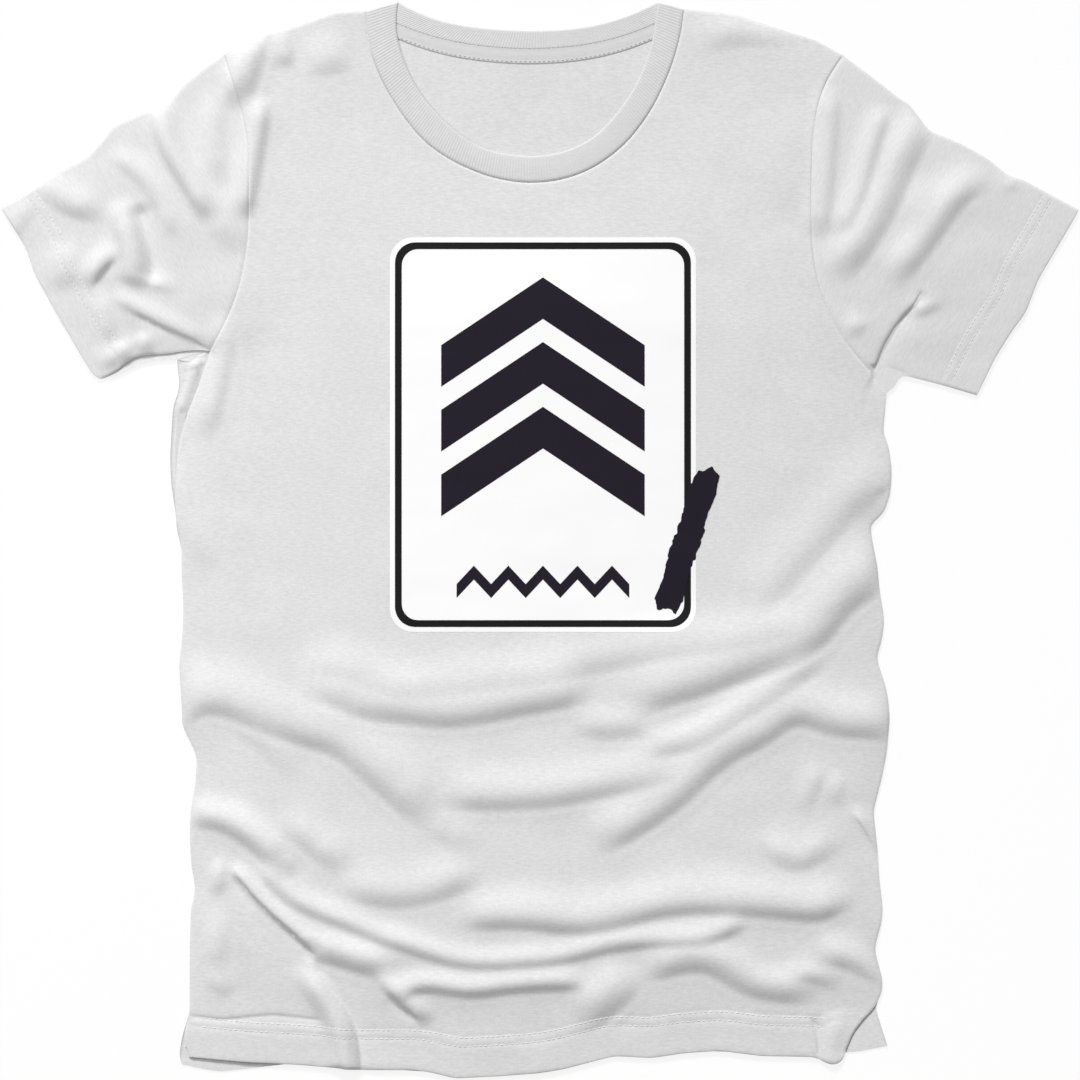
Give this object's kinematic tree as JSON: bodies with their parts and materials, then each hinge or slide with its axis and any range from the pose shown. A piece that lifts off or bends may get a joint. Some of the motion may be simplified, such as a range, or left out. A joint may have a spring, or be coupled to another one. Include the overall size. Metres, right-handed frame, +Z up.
{
  "type": "short-sleeved crew-neck t-shirt",
  "caption": "Short-sleeved crew-neck T-shirt lying flat on its back, with a ribbed collar, turned hems, soft folds and a bordered white chest print.",
  "frame": {"origin": "on the surface that the shirt lies on, under the middle of its outline", "axes": "+X towards the wearer's left sleeve, +Y towards the neck, +Z up through the front of the shirt"},
  "size_m": [0.702, 0.6997, 0.0163],
  "materials": {
    "cloth": "matte heather jersey, light grey with fine lighter and darker streaks",
    "rib": "matte one-by-one rib knit",
    "tape": "matte jersey binding tape",
    "print_white": "flat white screen print on the cloth",
    "print_black": "flat black screen print",
    "print_dark": "flat violet-black screen print"
  },
  "bodies": {
    "root": {"front_panel": "cloth", "back_panel": "cloth", "right_sleeve": "cloth", "left_sleeve": "cloth", "collar_rib": "rib", "neck_tape": "tape", "right_side_seam": "cloth", "left_side_seam": "cloth", "right_shoulder_seam": "cloth", "left_shoulder_seam": "cloth", "print_field": "print_white", "print_border": "print_black", "print_chevron_upper": "print_dark", "print_chevron_middle": "print_dark", "print_chevron_lower": "print_dark", "print_zigzag": "print_dark", "print_brush_stroke": "print_dark"}
  },
  "joints": []
}
